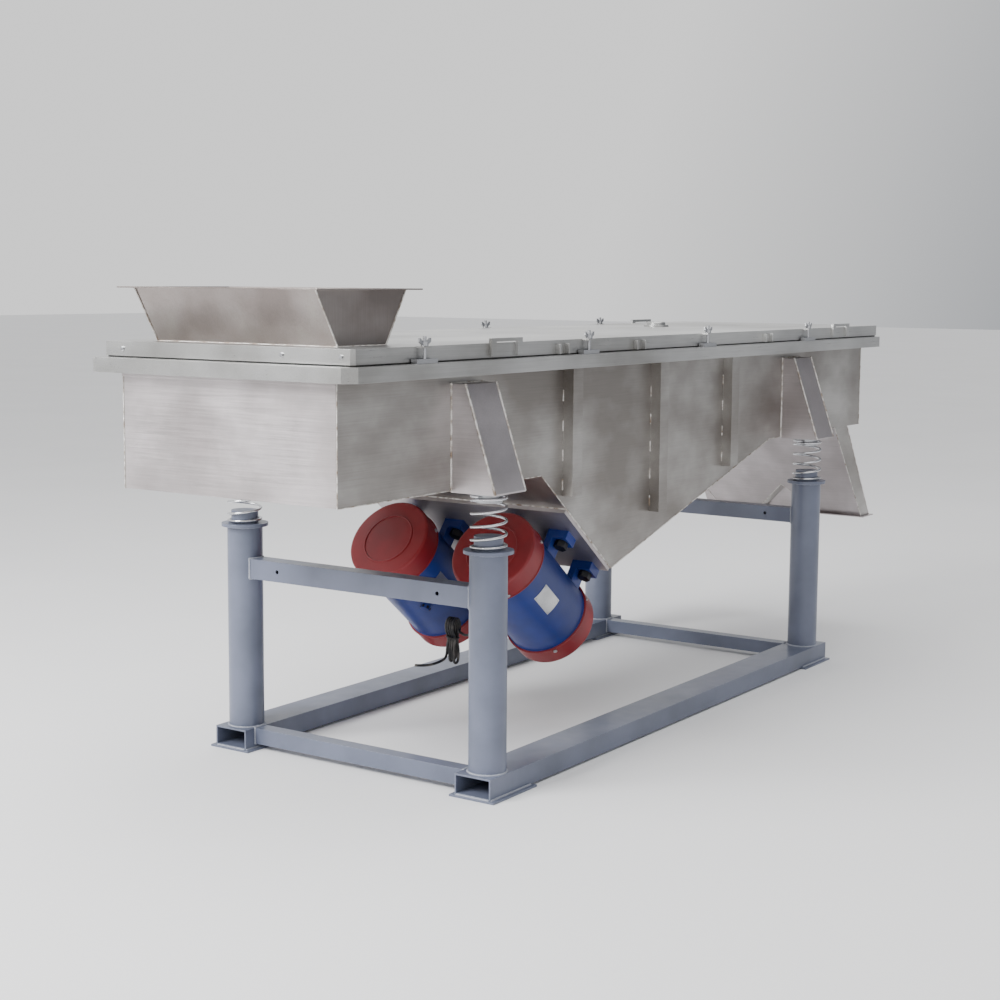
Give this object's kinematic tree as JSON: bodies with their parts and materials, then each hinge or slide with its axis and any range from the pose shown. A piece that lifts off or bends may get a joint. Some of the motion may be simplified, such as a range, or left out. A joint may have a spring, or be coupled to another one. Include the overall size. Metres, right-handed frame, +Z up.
{
  "type": "vibrating sieve",
  "caption": "Linear vibrating sieve: a long covered trough on coil springs over a tube frame, with a feed hopper, a forked discharge chute and twin vibration motors under its belly.",
  "frame": {"origin": "on the floor, under the middle of the whole machine's length and width", "axes": "+X runs from the feed hopper's end to the discharge chute's end, +Y to the machine's far side, +Z up"},
  "size_m": [2.928, 0.871, 1.1633],
  "materials": {
    "frame_paint": "grey-blue enamel, slightly glossy",
    "stainless": "brushed stainless sheet",
    "motor_blue": "glossy blue enamel on cast iron",
    "cover_red": "glossy dark red enamel on pressed steel",
    "spring_zinc": "bright zinc-plated spring wire",
    "zinc": "zinc-plated fasteners",
    "black_bolt": "black oxide bolts",
    "plate_alu": "bare aluminium plate",
    "rubber": "black rubber gasket and cable sheath",
    "cloth": "woven stainless wire cloth",
    "cast": "turned cast iron"
  },
  "bodies": {
    "trough": {"cable_hank": "rubber", "cable_lead": "rubber", "cable_tail": "rubber", "chute_back": "stainless", "chute_floor": "stainless", "chute_sides": "stainless", "clamp_studs": "zinc", "deck_frame": "stainless", "deck_ledges": "stainless", "end_plate_discharge": "stainless", "end_plate_feed": "stainless", "motor_bearings": "zinc", "motor_bolts": "black_bolt", "motor_covers": "cover_red", "motor_housing_far": "motor_blue", "motor_housing_near": "motor_blue", "motor_seat_plate": "stainless", "name_plates": "plate_alu", "side_plate_far": "stainless", "side_plate_near": "stainless", "side_ribs": "stainless", "sieve_cloth": "cloth", "spout_lips": "stainless", "spring_brackets": "stainless", "spring_seats": "stainless", "top_rail": "stainless", "trough_floor": "stainless"},
    "base": {"cross_tubes": "frame_paint", "foot_plates": "frame_paint", "long_tube_far": "frame_paint", "long_tube_near": "frame_paint", "post_caps": "frame_paint", "post_far_discharge": "frame_paint", "post_far_feed": "frame_paint", "post_near_discharge": "frame_paint", "post_near_feed": "frame_paint", "spring_far_discharge": "spring_zinc", "spring_far_feed": "spring_zinc", "spring_near_discharge": "spring_zinc", "spring_near_feed": "spring_zinc", "upper_beam_discharge": "frame_paint", "upper_beam_feed": "frame_paint"},
    "rotor_far": {"eccentric_weights_far": "cast", "rotor_far": "zinc"},
    "rotor_near": {"eccentric_weights_near": "cast", "rotor_near": "zinc"},
    "lid": {"feed_hopper": "stainless", "lid": "stainless", "lid_gasket": "rubber", "lid_handles": "stainless", "lid_lugs": "stainless", "lid_port": "stainless"},
    "wing_nut_far_four": {"wing_nut_far_four": "zinc"},
    "wing_nut_far_one": {"wing_nut_far_one": "zinc"},
    "wing_nut_far_three": {"wing_nut_far_three": "zinc"},
    "wing_nut_far_two": {"wing_nut_far_two": "zinc"},
    "wing_nut_near_four": {"wing_nut_near_four": "zinc"},
    "wing_nut_near_one": {"wing_nut_near_one": "zinc"},
    "wing_nut_near_three": {"wing_nut_near_three": "zinc"},
    "wing_nut_near_two": {"wing_nut_near_two": "zinc"}
  },
  "joints": [
    {"name": "vibration", "type": "slide", "parent": "base", "child": "trough", "axis": [0.6272, 0, 0.7788], "range_m": [-0.005, 0.005], "stiffness_N_per_m": 187000, "springref_m": 0.01777, "deforming": ["spring_near_feed", "spring_near_discharge", "spring_far_feed", "spring_far_discharge"]},
    {"name": "lid_lift", "type": "slide", "parent": "trough", "child": "lid", "axis": [0, 0, 1], "range_m": [0, 0.25]},
    {"name": "rotor_near_spin", "type": "hinge", "parent": "trough", "child": "rotor_near", "pos_m": [-0.488, -0.164, 0.39225], "axis": [0.7788, 0, -0.6272], "continuous": true},
    {"name": "rotor_far_spin", "type": "hinge", "parent": "trough", "child": "rotor_far", "pos_m": [-0.488, 0.164, 0.39225], "axis": [0.7788, 0, -0.6272], "continuous": true},
    {"name": "wing_nut_near_one_turn", "type": "hinge", "parent": "lid", "child": "wing_nut_near_one", "pos_m": [-1.2, -0.372, 1.045], "axis": [0, 0, 1], "continuous": true},
    {"name": "wing_nut_near_two_turn", "type": "hinge", "parent": "lid", "child": "wing_nut_near_two", "pos_m": [-0.525, -0.372, 1.045], "axis": [0, 0, 1], "continuous": true},
    {"name": "wing_nut_near_three_turn", "type": "hinge", "parent": "lid", "child": "wing_nut_near_three", "pos_m": [0.105, -0.372, 1.045], "axis": [0, 0, 1], "continuous": true},
    {"name": "wing_nut_near_four_turn", "type": "hinge", "parent": "lid", "child": "wing_nut_near_four", "pos_m": [0.77, -0.372, 1.045], "axis": [0, 0, 1], "continuous": true},
    {"name": "wing_nut_far_one_turn", "type": "hinge", "parent": "lid", "child": "wing_nut_far_one", "pos_m": [-1.2, 0.372, 1.045], "axis": [0, 0, 1], "continuous": true},
    {"name": "wing_nut_far_two_turn", "type": "hinge", "parent": "lid", "child": "wing_nut_far_two", "pos_m": [-0.525, 0.372, 1.045], "axis": [0, 0, 1], "continuous": true},
    {"name": "wing_nut_far_three_turn", "type": "hinge", "parent": "lid", "child": "wing_nut_far_three", "pos_m": [0.105, 0.372, 1.045], "axis": [0, 0, 1], "continuous": true},
    {"name": "wing_nut_far_four_turn", "type": "hinge", "parent": "lid", "child": "wing_nut_far_four", "pos_m": [0.77, 0.372, 1.045], "axis": [0, 0, 1], "continuous": true}
  ],
  "couplings": [
    {"joint": "rotor_far_spin", "follows": "rotor_near_spin", "ratio": -1}
  ]
}
